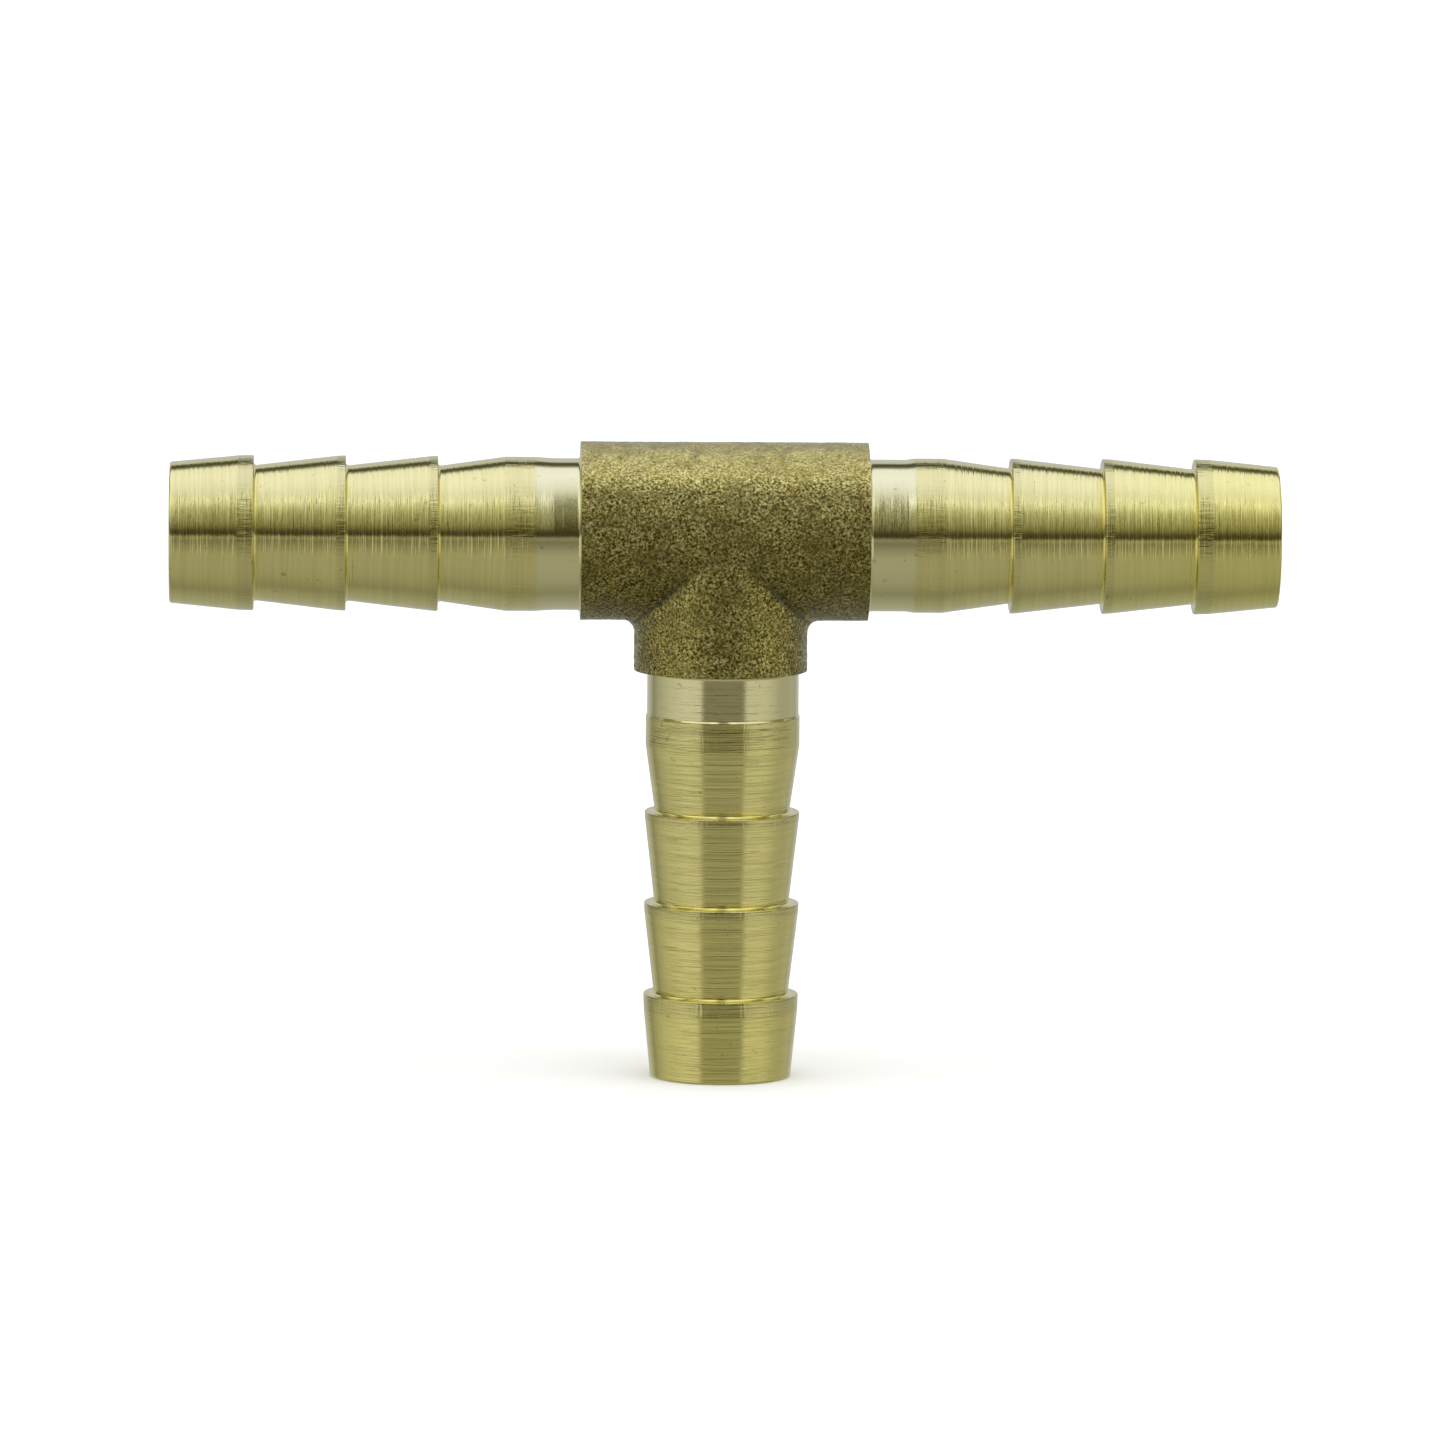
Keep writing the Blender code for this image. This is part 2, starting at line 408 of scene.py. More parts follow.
def tail_corners(arm):
    """(radius, height, rounding) of each corner of a tail: shoulder, neck, collar, barbs, end face, bore."""
    collar_base = crest_heights()[-1] + LEAD_CONE_LENGTH
    collar_top = collar_base + COLLAR_LENGTH
    ramp_rounding = 0.8 * NECK_EASE[arm]
    corners = [
        (NECK_RADIUS + SHOULDER_REACH, TAIL_LENGTH, 0.0),
        (NECK_RADIUS, TAIL_LENGTH, SHOULDER_FILLET),
        (NECK_RADIUS, collar_top + NECK_EASE[arm], ramp_rounding),
        (COLLAR_RADIUS, collar_top, ramp_rounding),
        (COLLAR_RADIUS, collar_base, 1.2),
    ]
    for height, land in zip(reversed(crest_heights()), reversed(CREST_LANDS)):
        corners += [
            (ROOT_RADIUS, height, ROOT_FILLET),
            (CREST_RADIUS, height, CREST_ROUNDING),
            (CREST_RADIUS - CREST_LAND_RISE, height - land, 0.5),
        ]
    corners += [
        (END_RADIUS, 0.0, END_ROUNDING),
        (BORE_RADIUS + BORE_CHAMFER, 0.0, 0.05),
        (BORE_RADIUS, BORE_CHAMFER, 0.05),
        (BORE_RADIUS, TAIL_LENGTH + SPIGOT_DEPTH, 0.0),
    ]
    return corners


def on_arm(points, arm):
    """Points made about Z, their height counted from the open end, turned onto an arm of the tee."""
    x, y, z = points.T
    if arm == "left":
        return np.stack([z - RUN_HALF, y, RUN_HEIGHT - x], axis=1)
    if arm == "right":
        return np.stack([RUN_HALF - z, y, RUN_HEIGHT + x], axis=1)
    return points


def tail_finish(arm, radius, height, outside):
    """Where each finish, and the painted highlight along the barbs' roots, lies along a tail's outline, from
    0 to 1. The collar counts as half a crest land.
    """
    crest = np.zeros(len(height))
    root = np.zeros(len(height))
    for top, land in zip(crest_heights(), CREST_LANDS):
        near = soft_step(height, top - land - 0.05, top - land + 0.05) * (height < top + 0.01)
        crest += near * (radius > ROOT_RADIUS + 0.3)
        # Painted highlight: a bright line at each barb's root.
        root += np.exp(-(((height - top - 0.05) / 0.16) ** 2)) * (radius < CREST_RADIUS - 0.15)
    collar_base = crest_heights()[-1] + LEAD_CONE_LENGTH
    collar_top = collar_base + COLLAR_LENGTH
    cone = 1 - soft_step(height, collar_top - 0.20, collar_top + 0.25)
    crest += 0.5 * soft_step(height, collar_base - 0.1, collar_base + 0.1) * cone
    return {
        "crest_land": crest,
        "root_highlight": np.clip(root, 0, 1),
        "outside": outside,
        "cone": cone * outside,
        "marks": np.maximum(cone, NECK_MARKS[arm]) * outside,
        "yellow": YELLOWING[arm] * (1 - soft_step(height, *YELLOWING_FADES)) * outside,
    }


def hose_tail(arm, material):
    """A turned tail: (r cos a, r sin a, h) over its outline (r, h) and a turn of a.

    To r is added the cutter's feed, rings of 1 to 3 microns that change only along h, and a slow wander of
    the tool of a few microns, sin(2 a) and sin(3 a) with phases that drift along h.
    """
    outline = rounded_outline(tail_corners(arm), OUTLINE_SPACING)
    seed = ARMS.index(arm)
    radius, height = outline[:, 0], outline[:, 1]
    outside = soft_step(radius, BORE_RADIUS + 0.05, BORE_RADIUS + 0.20)
    fine = FINE_FEED["depth"] * ring_noise(height, FINE_FEED["pitch"], 11 + seed)
    coarse = COARSE_FEED["depth"] * ring_noise(height, COARSE_FEED["pitch"], 21 + seed)
    angle = np.linspace(0, 2 * math.pi, TURNED_STEPS, endpoint=False)
    drift = 2.0 * ring_noise(height, TOOL_WANDER["pitch"], 31 + seed)[:, None]
    wander = TOOL_WANDER["depth"] * (np.sin(2 * angle + drift) + 0.7 * np.sin(3 * angle - drift))
    full_radius = radius[:, None] + outside[:, None] * ((fine + coarse)[:, None] + wander)
    turned = np.broadcast_arrays(full_radius * np.cos(angle), full_radius * np.sin(angle), height[:, None])
    points = np.stack(turned, axis=-1).reshape(-1, 3)
    # The outline goes down the outside and up the bore, so the open air is always on its left.
    along = np.gradient(outline, axis=0)
    left = np.broadcast_arrays(
        np.cos(angle) * -along[:, 1, None],
        np.sin(angle) * -along[:, 1, None],
        along[:, 0, None],
    )
    outward = np.stack(left, axis=-1).reshape(-1, 3)
    quads = facing(points, grid_quads(len(outline), TURNED_STEPS, closed=True), outward)
    finish = tail_finish(arm, radius, height, outside)
    at_points = {name: np.repeat(values, TURNED_STEPS) for name, values in finish.items()}
    return add_surface(f"{arm}_turned_tail", on_arm(points, arm), quads, material, **at_points)


# ---------------------------------------------------------------- forged skin


def crotch_radius(y, run_radius, fillet):
    """How far the soft join of run and branch reaches at y across the run.

    The surfaces turn through t = arccos((y / r)^2) there, and the join is the fillet's radius times
    (1 - cos(t / 2)) / (1 - cos 45 degrees), so it fades to nothing where they run into one another.
    """
    turn = np.arccos(np.clip((y / run_radius) ** 2, 0.0, 1.0))
    return fillet * (1 - np.cos(turn / 2)) / (1 - math.cos(math.pi / 4))


def tee_distance(points, run_radius, branch_radius, branch_x, fillet):
    """Signed distance to two joined cylinders about the run's centre, below the run's axis.

    Where a and b are the distances to each and both are under k, the join is k - sqrt((k-a)^2 + (k-b)^2),
    a quarter of a circle of radius k that touches both.
    """
    x, y, z = points.T
    run = np.hypot(y, z) - run_radius
    branch = np.where(z < 0, np.hypot(x - branch_x, y) - branch_radius, np.inf)
    reach = crotch_radius(y, run_radius, fillet)
    inside_run = np.maximum(reach - run, 0)
    inside_branch = np.maximum(reach - branch, 0)
    return np.maximum(reach, np.minimum(run, branch)) - np.hypot(inside_run, inside_branch)


def slope_of(distance, points, step=1e-4):
    """The distance's slope at each point, from its change over a short step each way along X, Y and Z."""
    shifts = np.eye(3) * step
    return np.stack([(distance(points + s) - distance(points - s)) / (2 * step) for s in shifts], axis=1)


def drop_onto(distance, points):
    """Each point carried down the slope to where the distance is zero, by Newton's method.

    A slope is taken as a half at least, so that no step is too long.
    """
    least_slope = 0.5
    for _ in range(NEWTON_STEPS):
        slope = slope_of(distance, points)
        steepness = np.maximum(np.sum(slope * slope, axis=1), least_slope**2)
        points = points - (distance(points) / steepness)[:, None] * slope
    return points, slope_of(distance, points)


class TeeSkin:
    """The skin of a tee of two crossing tubes, about the run's centre, as three grids that share their edges.

    A slice across Y at y = r sin(p) has a half height of h = r cos(p). The top grid is (x, r sin p, h). Each
    lower grid goes along the run's underside from its end to the crotch at |x| = h, then down the branch.
    """

    def __init__(self, run_radius, branch_radius, branch_x, run_half, foot, fillet, rows, along, down):
        slices = np.linspace(-math.pi / 2, math.pi / 2, rows)
        across = run_radius * np.sin(slices)
        half = run_radius * np.cos(slices)
        half[[0, -1]] = 0.0
        top_x = np.concatenate(
            [np.linspace(-run_half, branch_x, along + 1), np.linspace(branch_x, run_half, along + 1)[1:]]
        )
        top = np.stack(np.broadcast_arrays(top_x[None, :], across[:, None], half[:, None]), axis=-1)
        grids = [top]
        for side in (-1, 1):
            share = np.linspace(0, 1, along + 1)[None, :]
            crotch_x = (branch_x + side * half)[:, None]
            under_x = side * run_half * (1 - share) + crotch_x * share
            under = np.broadcast_arrays(under_x, across[:, None], -half[:, None])
            share = np.linspace(0, 1, down + 1)[None, 1:]
            leg_z = -half[:, None] * (1 - share) - foot * share
            leg = np.broadcast_arrays(crotch_x, across[:, None], leg_z)
            grids.append(np.concatenate([np.stack(under, axis=-1), np.stack(leg, axis=-1)], axis=1))
        base = np.concatenate([grid.reshape(-1, 3) for grid in grids])
        _, first, index = np.unique(np.round(base, 6), axis=0, return_index=True, return_inverse=True)
        index = index.ravel()
        self.grids = []
        quads = []
        start = 0
        for grid in grids:
            count = grid.shape[0] * grid.shape[1]
            numbers = index[start : start + count]
            self.grids.append(numbers.reshape(grid.shape[:2]))
            quads.append(numbers[grid_quads(*grid.shape[:2], closed=False)])
            start += count

        def distance(points):
            return tee_distance(points, run_radius, branch_radius, branch_x, fillet)

        feet = base[first]
        ends = np.abs(np.abs(feet[:, 0]) - run_half) < 1e-6
        soles = np.abs(feet[:, 2] + foot) < 1e-6
        self.points, slope = drop_onto(distance, feet)
        self.points[ends, 0] = feet[ends, 0]
        self.points[soles, 2] = feet[soles, 2]
        self.outward = slope / np.maximum(np.linalg.norm(slope, axis=1), 1e-9)[:, None]
        self.quads = np.concatenate([facing(self.points, part, self.outward) for part in quads])
        in_order = np.sort(self.quads, axis=1)
        self.quads = self.quads[(np.diff(in_order, axis=1) > 0).all(axis=1)]

    def rim(self, arm):
        """Point numbers round one open end, in order."""
        top, left, right = self.grids
        if arm == "left":
            return np.concatenate([top[:, 0], left[::-1, 0][1:-1]])
        if arm == "right":
            return np.concatenate([top[:, -1], right[::-1, 0][1:-1]])
        return np.concatenate([left[:, -1], right[::-1, -1][1:-1]])


def blasted(points, outward):
    """Shot-blasting: overlapping round dents, deepest at their middles, over a slow unevenness of the skin.

    Each dent sinks by its depth times 1 - d^2, d the distance from its middle, and the dents come in two
    sizes.
    """
    fine = 1 - np.minimum(cell_noise(points, FINE_DENTS["size"], 5), 1.0) ** 2
    coarse = 1 - np.minimum(cell_noise(points, COARSE_DENTS["size"], 9), 1.0) ** 2
    slow = cell_noise(points, UNEVENNESS["size"], 3)
    dents = FINE_DENTS["depth"] * fine + COARSE_DENTS["depth"] * coarse
    sunk = dents + UNEVENNESS["depth"] * slow - UNEVENNESS["depth"]
    return points - sunk[:, None] * outward


def crease(points, run_radius, branch_radius, branch_x):
    """Nearness to the line where run and branch meet, exp(-((a - b) / w)^2), a and b the distances to each.

    It fades where the two surfaces turn into one another, towards the sides.
    """
    x, y, z = points.T
    run = np.hypot(y, z) - run_radius
    branch = np.hypot(x - branch_x, y) - branch_radius
    turn = np.degrees(np.arccos(np.clip((y / run_radius) ** 2, 0.0, 1.0)))
    return np.exp(-(((run - branch) / CREASE_WIDTH) ** 2)) * soft_step(turn, 26.0, 60.0) * (z < 0)


def flank(outward):
    """Nearness to the slanting sides of the stub, between its front and its very edge, where the skin gets
    painted light.
    """
    sideways = np.abs(outward[:, 0])
    return soft_step(sideways, 0.05, 0.60) * (1 - 0.6 * soft_step(sideways, 0.65, 0.95))


def shoulder_face(skin, points, arm, centre, material):
    """The flat turned face at an arm's shoulder, in rings from the forging's rim in to the tail's root."""
    rim = points[skin.rim(arm)]
    flat = np.array([1.0, 1.0, 0.0]) if arm == "branch" else np.array([0.0, 1.0, 1.0])
    spoke = (rim - centre) * flat
    level = centre + spoke
    under_tail = 0.02
    inner_radius = NECK_RADIUS + SHOULDER_REACH - under_tail
    inner = centre + spoke / np.linalg.norm(spoke, axis=1)[:, None] * inner_radius
    share = np.linspace(0, 1, FACE_RINGS)[:, None, None]
    rings = level[None] * (1 - share) + inner[None] * share
    rings[0] = rim
    face = rings.reshape(-1, 3)
    away = {"left": (-1.0, 0.0, 0.0), "right": (1.0, 0.0, 0.0), "branch": (0.0, 0.0, -1.0)}[arm]
    outward = np.broadcast_to(np.array(away), face.shape)
    quads = facing(face, grid_quads(FACE_RINGS, len(rim), closed=True), outward)
    return add_surface(f"{arm}_shoulder_face", face, quads, material, outside=np.ones(len(face)))


# ---------------------------------------------------------------- nodes


class Graph:
    """Short calls for the nodes of one material, world or group."""

    def __init__(self, tree):
        self.tree = tree

    def node(self, kind, **settings):
        """A new node with these settings."""
        node = self.tree.nodes.new(kind)
        for name, value in settings.items():
            setattr(node, name, value)
        return node

    def put(self, source, socket):
        """A link from another socket, or a fixed value. A fixed colour comes without its alpha."""
        if isinstance(source, bpy.types.NodeSocket):
            self.tree.links.new(source, socket)
        elif socket.type == "RGBA":
            socket.default_value = (*source, 1.0)
        else:
            socket.default_value = source

    def math(self, operation, *sources):
        node = self.node("ShaderNodeMath", operation=operation)
        for source, socket in zip(sources, node.inputs):
            self.put(source, socket)
        return node.outputs[0]

    def step(self, value, low, high, to_low=0.0, to_high=1.0):
        """From one value to another, smoothly, as the input goes from low to high."""
        node = self.node("ShaderNodeMapRange", interpolation_type="SMOOTHSTEP")
        for source, socket in zip((value, low, high, to_low, to_high), node.inputs):
            self.put(source, socket)
        return node.outputs[0]

    def mix(self, factor, first, second):
        node = self.node("ShaderNodeMix", data_type="RGBA")
        self.put(factor, node.inputs["Factor"])
        self.put(first, node.inputs["A"])
        self.put(second, node.inputs["B"])
        return next(socket for socket in node.outputs if socket.type == "RGBA")

    def noise(self, vector, scale, detail, roughness):
        node = self.node("ShaderNodeTexNoise")
        self.put(vector, node.inputs["Vector"])
        node.inputs["Scale"].default_value = scale
        node.inputs["Detail"].default_value = detail
        node.inputs["Roughness"].default_value = roughness
        return node.outputs[0]

    def noise_colour(self, vector, scale):
        node = self.node("ShaderNodeTexNoise")
        self.put(vector, node.inputs["Vector"])
        node.inputs["Scale"].default_value = scale
        return node.outputs["Color"]

    def cells(self, vector, scale, output="Distance"):
        node = self.node("ShaderNodeTexVoronoi")
        self.put(vector, node.inputs["Vector"])
        node.inputs["Scale"].default_value = scale
        return node.outputs[output]

    def ramp(self, value, stops):
        node = self.node("ShaderNodeValToRGB")
        elements = node.color_ramp.elements
        while len(elements) < len(stops):
            elements.new(0.5)
        for element, (place, colour) in zip(elements, stops):
            element.position = place
            element.color = (*colour, 1.0)
        self.put(value, node.inputs[0])
        return node.outputs[0]

    def turning_ramp(self, angle, tones):
        """A colour for each angle in radians, its stops given in degrees from -180 to 180."""
        share = self.math("ADD", self.math("DIVIDE", angle, 2 * math.pi), 0.5)
        return self.ramp(share, [((degrees + 180) / 360, tone) for degrees, tone in sorted(tones.items())])

    def scaled(self, colour, amount):
        node = self.node("ShaderNodeVectorMath", operation="SCALE")
        self.put(colour, node.inputs[0])
        self.put(amount, node.inputs["Scale"])
        return node.outputs[0]

    def vector(self, operation, *sources):
        node = self.node("ShaderNodeVectorMath", operation=operation)
        for source, socket in zip(sources, node.inputs):
            self.put(source, socket)
        return node.outputs[0]

    def place(self):
        return self.node("ShaderNodeTexCoord").outputs["Object"]

    def stretched(self, vector, scale):
        """The place times a scale for each of X, Y and Z."""
        node = self.node("ShaderNodeMapping")
        self.put(vector, node.inputs["Vector"])
        node.inputs["Scale"].default_value = scale
        return node.outputs[0]

    def value_of(self, name):
        """The piece's own value of this name at each point, or 0 where it has none."""
        return self.node("ShaderNodeAttribute", attribute_name=name).outputs["Fac"]


def new_group(name, inputs, outputs):
    """A node group with these named float inputs and outputs, each a name and a socket kind."""
    group = bpy.data.node_groups.new(name, "ShaderNodeTree")
    for socket, kind in inputs.items():
        group.interface.new_socket(socket, in_out="INPUT", socket_type=kind)
    for socket, kind in outputs.items():
        group.interface.new_socket(socket, in_out="OUTPUT", socket_type=kind)
    graph = Graph(group)
    return group, graph, graph.node("NodeGroupInput").outputs, graph.node("NodeGroupOutput").inputs


def metal(name, roughness):
    """A new metallic material, the graph of its nodes and its shader."""
    material = bpy.data.materials.new(name)
    material.use_nodes = True
    shader = material.node_tree.nodes["Principled BSDF"]
    shader.inputs["Metallic"].default_value = 1.0
    shader.inputs["Roughness"].default_value = roughness
    return material, Graph(material.node_tree), shader


def lathe_marks_group():
    """Tool marks: rings that keep their place along the axis and fade in and out as they go round.

    Fine and Broad are the place on the metal, drawn out much longer round it than along it, and Chatter is
    the place drawn out along it. Marks and Land are how strongly the streaks and the crests' chatter show.
    """
    group, graph, given, result = new_group(
        "lathe_marks",
        {
            "Fine": "NodeSocketVector",
            "Broad": "NodeSocketVector",
            "Chatter": "NodeSocketVector",
            "Marks": "NodeSocketFloat",
            "Land": "NodeSocketFloat",
        },
        {"Height": "NodeSocketFloat", "Streak": "NodeSocketFloat"},
    )
    fine = graph.noise(given["Fine"], 1.0, 3.0, 0.7)
    broad = graph.noise(given["Broad"], 1.0, 3.0, 0.75)
    chatter = graph.noise(given["Chatter"], 1.0, 2.0, 0.6)
    streaks = graph.math("MULTIPLY", graph.math("SUBTRACT", broad, 0.5), given["Marks"])
    rings = graph.math("MULTIPLY", graph.math("SUBTRACT", fine, 0.5), RING_STRENGTH)
    on_lands = graph.math("MULTIPLY", given["Land"], CHATTER_STRENGTH)
    waves = graph.math("MULTIPLY", graph.math("SUBTRACT", chatter, 0.5), on_lands)
    graph.put(graph.math("ADD", graph.math("ADD", streaks, rings), waves), result["Height"])
    graph.put(graph.step(broad, 0.38, 0.62), result["Streak"])
    return group


def scale_about(axis, marks):
    """A texture's scale along X, Y and Z, given its scales round and along the axis of turning."""
    around, along = marks
    return [along if direction == axis else around for direction in range(3)]


def turned_brass(name, axis, marks, base, depth):
    """Bright brass off the lathe, and duller in the drilled bores.

    The axis it was turned about is 0 for X, along the run, or 2 for Z, down the branch.
    """
    material, graph, shader = metal(name, TURNED_ROUGHNESS)
    place = graph.place()
    group = graph.node("ShaderNodeGroup", node_tree=marks)
    graph.put(graph.stretched(place, scale_about(axis, FINE_MARKS)), group.inputs["Fine"])
    graph.put(graph.stretched(place, scale_about(axis, BROAD_MARKS)), group.inputs["Broad"])
    graph.put(graph.stretched(place, scale_about(axis, CHATTER_MARKS)), group.inputs["Chatter"])
    land = graph.value_of("crest_land")
    graph.put(graph.value_of("marks"), group.inputs["Marks"])
    graph.put(land, group.inputs["Land"])
    bump = graph.node("ShaderNodeBump")
    bump.inputs["Strength"].default_value = 1.0
    bump.inputs["Distance"].default_value = depth
    graph.put(group.outputs["Height"], bump.inputs["Height"])
    graph.put(bump.outputs[0], shader.inputs["Normal"])
    dim = tuple(STREAK_SHADE * channel for channel in base)
    colour = graph.mix(group.outputs["Streak"], base, dim)
    colour = graph.mix(graph.value_of("cone"), NECK_BRASS, colour)
    colour = graph.mix(graph.value_of("yellow"), colour, YELLOWED_BRASS)
    colour = graph.mix(graph.math("MULTIPLY", land, CREST_STRENGTH), colour, CREST_BRASS)
    specks = graph.noise(place, **TARNISH_SPECKS)
    tarnish = graph.math("MULTIPLY", graph.step(specks, *TARNISH_RANGE), TARNISH_STRENGTH)
    colour = graph.mix(tarnish, colour, TARNISH)
    # A painted highlight along each barb's root, brighter and yellower.
    root = graph.math("MULTIPLY", graph.value_of("root_highlight"), ROOT_HIGHLIGHT_STRENGTH)
    colour = graph.mix(root, colour, ROOT_HIGHLIGHT_BRASS)
    outside = graph.value_of("outside")
    colour = graph.mix(outside, BORE_BRASS, colour)
    graph.put(colour, shader.inputs["Base Color"])
    graph.put(graph.step(outside, 0.0, 1.0, BORE_METALLIC, 1.0), shader.inputs["Metallic"])
    graph.put(graph.step(outside, 0.0, 1.0, BORE_ROUGHNESS, TURNED_ROUGHNESS), shader.inputs["Roughness"])
    return material


def leaning_facets(graph, place):
    """The surface's normal, tipped at random from one small facet to the next. The facets' edges are wavy."""
    middle = (0.5, 0.5, 0.5)
    wave = graph.vector("SUBTRACT", graph.noise_colour(place, FACET_WAVE_SCALE), middle)
    shifted = graph.vector("ADD", place, graph.scaled(wave, FACET_WAVE))
    lean = graph.vector("SUBTRACT", graph.cells(shifted, FACET_SCALE, "Color"), middle)
    normal = graph.node("ShaderNodeNewGeometry").outputs["Normal"]
    return graph.vector("NORMALIZE", graph.vector("ADD", normal, graph.scaled(lean, FACET_LEAN)))


def forged_brass():
    """Dull shot-blasted forging skin: small facets that lean at random, olive-brown with bright flecks, which
    are painted glints.

    The colour carries painted light and shade: paler and more even where the skin looks up, pale on the
    stub's slanting sides and darker below. The crease where run and branch meet is darker, with grime and
    painted shade.
    """
    material, graph, shader = metal("forged_brass_skin", FORGED_ROUGHNESS)
    place = graph.place()
    grain = graph.cells(place, GRAIN_SCALE)
    fine = graph.noise(place, **GRAIN_NOISE)
    patches = graph.step(graph.noise(place, **PATCHES), *PATCH_RANGE, 0.0, OLIVE_STRENGTH)
    bump = graph.node("ShaderNodeBump")
    bump.inputs["Strength"].default_value = 1.0
    bump.inputs["Distance"].default_value = GRAIN_DEPTH
    graph.put(graph.math("MULTIPLY_ADD", grain, GRAIN_HEIGHT_SHARE, fine), bump.inputs["Height"])
    graph.put(leaning_facets(graph, place), bump.inputs["Normal"])
    graph.put(bump.outputs[0], shader.inputs["Normal"])
    above_middle = graph.math("SUBTRACT", grain, MIDDLE_GRAIN)
    speckle = graph.math("MULTIPLY_ADD", above_middle, GRAIN_SPECKLE_SHARE, fine)
    upward = graph.value_of("upward")
    # Speckled tones of the skin; the palest are painted glints.
    colour = graph.ramp(speckle, SKIN_TONES_AND_GLINTS)
    # Painted light: the skin turns paler and more even where it looks up.
    colour = graph.mix(graph.step(upward, *PAINTED_LIT_SKIN_RANGE, 0.0, PAINTED_LIT_SKIN_STRENGTH), colour, PAINTED_LIT_SKIN)
    colour = graph.mix(patches, colour, OLIVE_SKIN)
    # Painted light and shade: lighter on top, darker below, by how far the normal looks up.
    painted_light_by_height = graph.ramp(upward, [(height, (light, light, light)) for height, light in SKIN_PAINTED_LIGHT])
    colour = graph.vector("MULTIPLY", colour, painted_light_by_height)
    # Painted light on the stub's slanting sides, capped at the palest skin.
    painted_flank_lift = graph.math("MULTIPLY_ADD", graph.value_of("flank"), FLANK_PAINTED_LIGHT, 1.0)
    colour = graph.vector("MINIMUM", graph.scaled(colour, painted_flank_lift), PALEST_SKIN)
    # Grime and painted shade in the crease where run and branch meet.
    grime_and_shade = graph.math("MULTIPLY", graph.value_of("crease"), CREASE_STRENGTH)
    colour = graph.mix(grime_and_shade, colour, CREASE_GRIME_AND_SHADE)
    graph.put(colour, shader.inputs["Base Color"])
    return material


# ---------------------------------------------------------------- stage


def studio_world():
    """A light tent with a dark front above the table, told by direction, that only reflections see.

    One ramp goes by the angle up from the front, over the top and down behind, and the dark front is lower
    and thinner beside its middle. Out to the sides another takes over, which goes by the angle round from
    the front.
    """
    world = bpy.data.worlds.new("light_tent")
    world.use_nodes = True
    tree = world.node_tree
    tree.nodes.clear()
    graph = Graph(tree)
    direction = graph.node("ShaderNodeSeparateXYZ")
    graph.put(graph.node("ShaderNodeTexCoord").outputs["Generated"], direction.inputs[0])
    x, y, z = direction.outputs
    over = graph.math("ARCTAN2", z, graph.math("MULTIPLY", y, -1.0))
    side = graph.math("ABSOLUTE", x)

    def upward(low, high, to_low=0.0, to_high=1.0):
        """A step by degrees up from the front."""
        return graph.step(over, math.radians(low), math.radians(high), to_low, to_high)

    def sideways(low, high, to_low=0.0, to_high=1.0):
        """A step by degrees out to either side."""
        return graph.step(side, math.sin(math.radians(low)), math.sin(math.radians(high)), to_low, to_high)

    beside = sideways(*BESIDE)
    dark_front = graph.math("MULTIPLY", upward(*DARK_FRONT_BEGINS), upward(*DARK_FRONT_ENDS, 1.0, 0.0))
    lowering = graph.math("MULTIPLY", beside, dark_front)
    thinned = graph.math("MULTIPLY", upward(*THINNED_BEGINS), upward(*THINNED_ENDS, 1.0, 0.0))
    thinned_sides = graph.math("MULTIPLY", thinned, beside)
    thinning = graph.math("MULTIPLY", thinned_sides, sideways(*FURTHER_OUT, *THINNING))
    lowered = graph.math("MULTIPLY_ADD", lowering, math.radians(DARK_FRONT_DROP), over)
    front = graph.scaled(graph.turning_ramp(lowered, OVER_TONES), graph.math("ADD", thinning, 1.0))
    walls = graph.turning_ramp(graph.math("ARCTAN2", x, graph.math("MULTIPLY", y, -1.0)), ROUND_TONES)
    near_table = graph.step(z, *TABLE_EDGE, *TABLE_EDGE_TONES)
    lift = graph.math("ADD", near_table, graph.step(z, *UPPER_WALLS, 0.0, UPPER_WALL_TONE))
    outward = graph.math("MULTIPLY", sideways(*WALLS_BEGIN), graph.step(z, *WALLS_RISE))
    seen = graph.mix(outward, front, graph.scaled(walls, lift))
    rays = graph.node("ShaderNodeLightPath").outputs
    reflections = graph.node("ShaderNodeBackground")
    graph.put(seen, reflections.inputs["Color"])
    room = graph.node("ShaderNodeBackground")
    graph.put((1.0, 1.0, 1.0), room.inputs["Color"])
    room_light = graph.step(z, *ROOM_EDGE, *ROOM_LIGHT)
    graph.put(graph.math("MAXIMUM", room_light, rays["Is Camera Ray"]), room.inputs["Strength"])
    either = graph.node("ShaderNodeMixShader")
    graph.put(rays["Is Glossy Ray"], either.inputs[0])
    graph.put(room.outputs[0], either.inputs[1])
    graph.put(reflections.outputs[0], either.inputs[2])
    graph.put(either.outputs[0], graph.node("ShaderNodeOutputWorld").inputs[0])
    bpy.context.scene.world = world


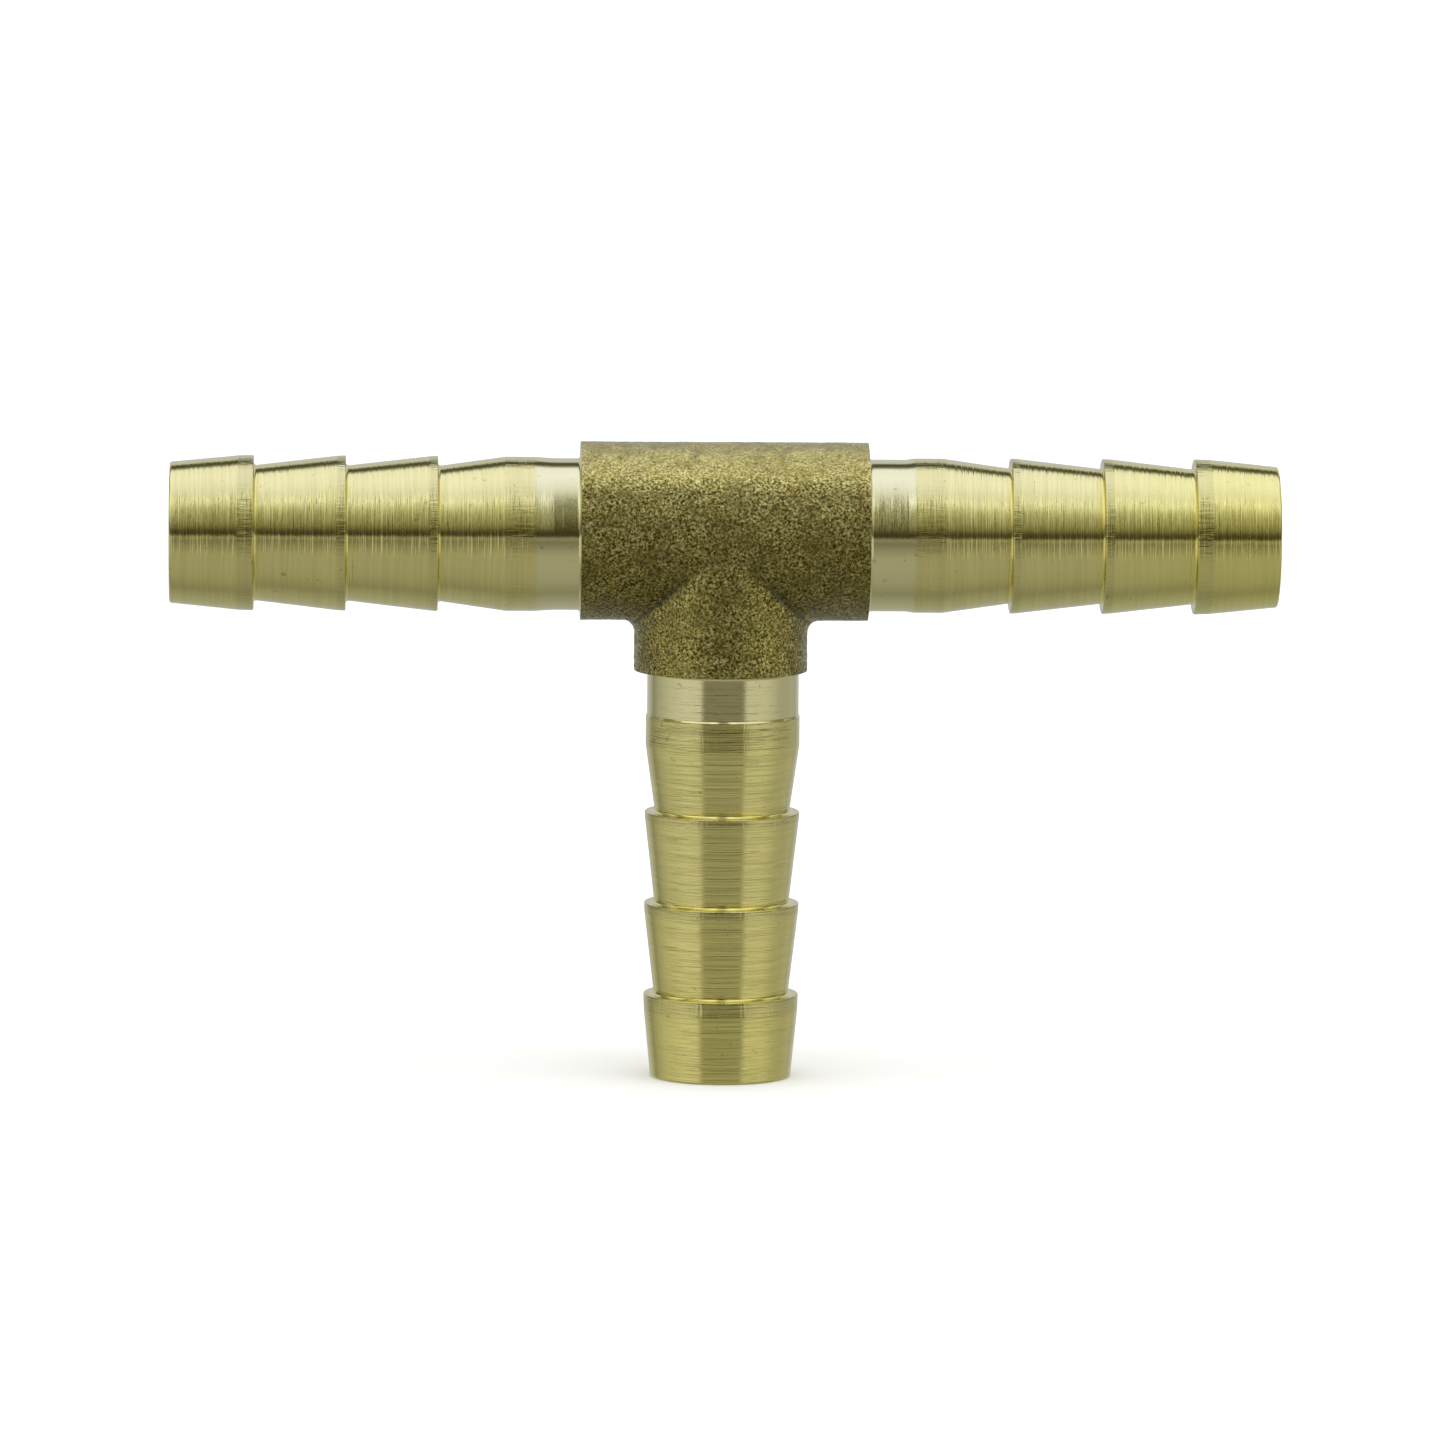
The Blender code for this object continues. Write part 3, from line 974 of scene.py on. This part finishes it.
def pale_floor():
    """A round floor, (r cos a, r sin a, h), its rings closer together near the tee."""
    material = bpy.data.materials.new("pale_floor")
    material.use_nodes = True
    shader = material.node_tree.nodes["Principled BSDF"]
    shader.inputs["Base Color"].default_value = (*FLOOR_COLOUR, 1.0)
    shader.inputs["Roughness"].default_value = 1.0
    shader.inputs["Specular IOR Level"].default_value = 0.0
    innermost, inner = FLOOR_INNER_RADII
    radius = np.concatenate([[innermost], np.geomspace(inner, FLOOR_RADIUS, FLOOR_RINGS)])[:, None]
    angle = np.linspace(0, 2 * math.pi, FLOOR_STEPS, endpoint=False)
    ring_points = np.broadcast_arrays(radius * np.cos(angle), radius * np.sin(angle), FLOOR_HEIGHT)
    points = np.stack(ring_points, axis=-1).reshape(-1, 3)
    up = np.broadcast_to(np.array([0.0, 0.0, 1.0]), points.shape)
    quads = facing(points, grid_quads(len(radius), FLOOR_STEPS, closed=True), up)
    floor = add_surface("floor", points, quads, material)
    floor.visible_glossy = False
    floor.visible_diffuse = False


def softbox():
    """A broad overhead light that gives the floor its soft shadow."""
    light = bpy.data.lights.new("softbox", "AREA")
    light.shape = "DISK"
    light.size = SOFTBOX_SIZE
    light.energy = SOFTBOX_POWER
    holder = bpy.data.objects.new("softbox", light)
    holder.location = SOFTBOX_PLACE
    holder.rotation_euler = (*(math.radians(angle) for angle in SOFTBOX_TILT), 0.0)
    holder.visible_glossy = False
    bpy.context.scene.collection.objects.link(holder)


def camera():
    """A camera in front of the tee, a little above it, that looks at AIM."""
    azimuth, elevation = math.radians(CAMERA_AZIMUTH), math.radians(CAMERA_ELEVATION)
    towards = np.array(
        [
            math.sin(azimuth) * math.cos(elevation),
            -math.cos(azimuth) * math.cos(elevation),
            math.sin(elevation),
        ]
    )
    data = bpy.data.cameras.new("camera")
    data.lens = LENS
    data.sensor_width = SENSOR
    data.clip_start = 0.05
    data.clip_end = 50.0
    holder = bpy.data.objects.new("camera", data)
    holder.location = (np.array(AIM) + towards * FRONT_DISTANCE) * MM
    holder.rotation_mode = "XYZ"
    look = Vector(-towards).to_track_quat("-Z", "Y").to_matrix()
    holder.rotation_euler = (look @ Matrix.Rotation(math.radians(CAMERA_ROLL), 3, "Z")).to_euler()
    bpy.context.scene.collection.objects.link(holder)
    bpy.context.scene.camera = holder


# ---------------------------------------------------------------- the tee


def build_tee():
    """Three turned tails, the forged skin with its three flat shoulders, and the waterway inside."""
    marks = lathe_marks_group()
    run_brass = turned_brass("turned_brass_run", 0, marks, RUN_BRASS, RUN_MARK_DEPTH)
    branch_brass = turned_brass("turned_brass_branch", 2, marks, BRANCH_BRASS, BRANCH_MARK_DEPTH)
    brass = {"left": run_brass, "right": run_brass, "branch": branch_brass}
    skin_brass = forged_brass()
    for arm in ARMS:
        tail = hose_tail(arm, brass[arm])
        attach(tail, "root")
        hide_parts(f"{arm}_hose_tail")
    run_centre = np.array([0.0, 0.0, RUN_HEIGHT + RUN_BODY_RISE])
    foot = run_centre[2] - TAIL_LENGTH
    skin = TeeSkin(
        RUN_BODY_RADIUS,
        BRANCH_BODY_RADIUS,
        BRANCH_BODY_SHIFT,
        RUN_BODY_HALF,
        foot,
        CROTCH_FILLET,
        rows=171,
        along=90,
        down=72,
    )
    points = blasted(skin.points, skin.outward)
    body = add_surface(
        "forged_skin",
        points + run_centre,
        skin.quads,
        skin_brass,
        upward=skin.outward[:, 2],
        flank=flank(skin.outward),
        crease=crease(skin.points, RUN_BODY_RADIUS, BRANCH_BODY_RADIUS, BRANCH_BODY_SHIFT),
    )
    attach(body, "root")
    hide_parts("tee_body")
    centres = {
        "left": np.array([-RUN_BODY_HALF, 0.0, RUN_HEIGHT]),
        "right": np.array([RUN_BODY_HALF, 0.0, RUN_HEIGHT]),
        "branch": np.array([0.0, 0.0, TAIL_LENGTH]),
    }
    for arm in ARMS:
        face = shoulder_face(skin, points + run_centre, arm, centres[arm], brass[arm])
        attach(face, "root")
        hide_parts("tee_body")
    way = TeeSkin(
        BORE_RADIUS,
        BORE_RADIUS,
        0.0,
        RUN_BODY_HALF - SPIGOT_DEPTH,
        RUN_HEIGHT - TAIL_LENGTH - SPIGOT_DEPTH,
        WATERWAY_FILLET,
        rows=61,
        along=26,
        down=24,
    )
    centre = np.array([0.0, 0.0, RUN_HEIGHT])
    bore = add_surface("waterway", way.points + centre, way.quads[:, ::-1], run_brass)
    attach(bore, "root")
    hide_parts("tee_body")


build_tee()
studio_world()
pale_floor()
softbox()
camera()
bpy.context.scene.view_settings.view_transform = "Standard"
